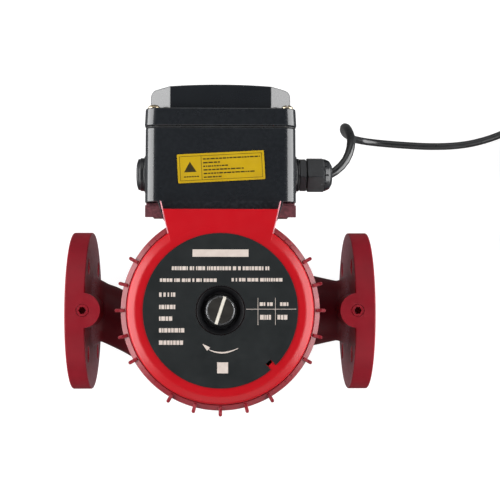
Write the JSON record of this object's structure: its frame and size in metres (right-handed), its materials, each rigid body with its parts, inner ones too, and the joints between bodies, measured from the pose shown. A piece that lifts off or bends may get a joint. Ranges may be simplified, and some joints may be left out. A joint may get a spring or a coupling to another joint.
{
  "type": "circulator pump",
  "caption": "In-line flanged heating circulator with a finned red wet-rotor motor, black terminal box with a mains cord, and a slotted vent screw in its round front cover.",
  "frame": {"origin": "Centre of the casing's flat back foot, on the surface that the pump lies on, on the motor axis.", "axes": "+Z is the motor axis, from the casing to the front cover. +X is the pipe axis, towards the suction flange. +Y points to the terminal box. With the motor axis level, as installed, +Y is up."},
  "size_m": [0.4663, 0.2478, 0.2536],
  "materials": {
    "cast_red": "red enamel over rough casting",
    "housing_red": "satin red enamel",
    "cover_red": "gloss red enamel",
    "plug_red": "red enamel",
    "box_black": "moulded, satin gloss",
    "fitting_black": "moulded nylon",
    "cord_black": "matt sheath",
    "seal_rubber": "matt",
    "nameplate_grey": "charcoal print, satin",
    "label_yellow": "plain yellow plate",
    "steel": "machined",
    "rotor_steel": "ground",
    "lamination": "stacked laminations",
    "winding_copper": "enamelled copper wire",
    "brass": "machined",
    "ceramic": "ground",
    "carbon": "ground carbon",
    "impeller_composite": "glass-filled composite",
    "terminal_white": "moulded",
    "capacitor_case": "drawn can",
    "lead_brown": "insulation",
    "lead_blue": "insulation",
    "lead_green": "insulation"
  },
  "bodies": {
    "pump": {"pump_casing": "cast_red", "motor_housing": "housing_red", "front_cover": "cover_red", "gauge_plug_suction": "plug_red", "gauge_plug_discharge": "plug_red", "wear_ring": "brass", "lower_bearing": "ceramic", "upper_bearing": "ceramic", "bearing_plate": "steel", "rotor_can": "steel", "casing_gasket": "seal_rubber", "stator_core": "lamination", "winding_lower": "winding_copper", "winding_upper": "winding_copper", "motor_screw_1": "steel", "motor_screw_2": "steel", "motor_screw_3": "steel", "motor_screw_4": "steel", "nameplate": "nameplate_grey", "vent_collar": "fitting_black", "terminal_box_base": "box_black", "box_gasket": "seal_rubber", "terminal_block": "terminal_white", "capacitor": "capacitor_case", "capacitor_clip": "steel", "box_screw_1": "steel", "box_screw_2": "steel", "earth_screw": "steel", "live_lead": "lead_brown", "neutral_lead": "lead_blue", "earth_lead": "lead_green", "warning_label": "label_yellow", "gland_washer": "seal_rubber", "gland_body": "fitting_black", "gland_nut": "fitting_black", "gland_grommet": "seal_rubber", "gland_locknut": "fitting_black", "blanking_plug": "fitting_black", "blanking_plug_nut": "fitting_black", "cord_inner_end": "cord_black", "supply_cord": "cord_black", "cord_coil": "cord_black", "cord_tail": "cord_black", "coil_tie": "fitting_black", "mains_plug": "fitting_black", "plug_pin_1": "steel", "plug_pin_2": "steel"},
    "rotor": {"shaft": "steel", "rotor_core": "rotor_steel", "impeller": "impeller_composite", "impeller_nut": "steel", "thrust_bearing": "carbon"},
    "vent_seal": {"vent_plug_seal": "seal_rubber"},
    "vent_screw": {"vent_plug": "steel"},
    "lid": {"terminal_box_lid": "box_black", "lid_screw_1": "brass", "lid_screw_2": "brass", "lid_screw_3": "brass", "lid_screw_4": "brass"}
  },
  "joints": [
    {"name": "rotor_spin", "type": "hinge", "parent": "pump", "child": "rotor", "pos_m": [0, 0, 0.17], "axis": [0, 0, 1], "continuous": true},
    {"name": "vent_plug_lift", "type": "slide", "parent": "pump", "child": "vent_seal", "axis": [0, 0, 1], "range_m": [0, 0.006]},
    {"name": "vent_plug_turn", "type": "hinge", "parent": "vent_seal", "child": "vent_screw", "pos_m": [0, 0, 0.248], "axis": [0, 0, 1], "range_deg": [0, 1440]},
    {"name": "lid_lift", "type": "slide", "parent": "pump", "child": "lid", "axis": [0, 1, 0], "range_m": [0, 0.07]}
  ],
  "couplings": [
    {"joint": "vent_plug_turn", "follows": "vent_plug_lift", "rad_per_m": 4188.8}
  ]
}
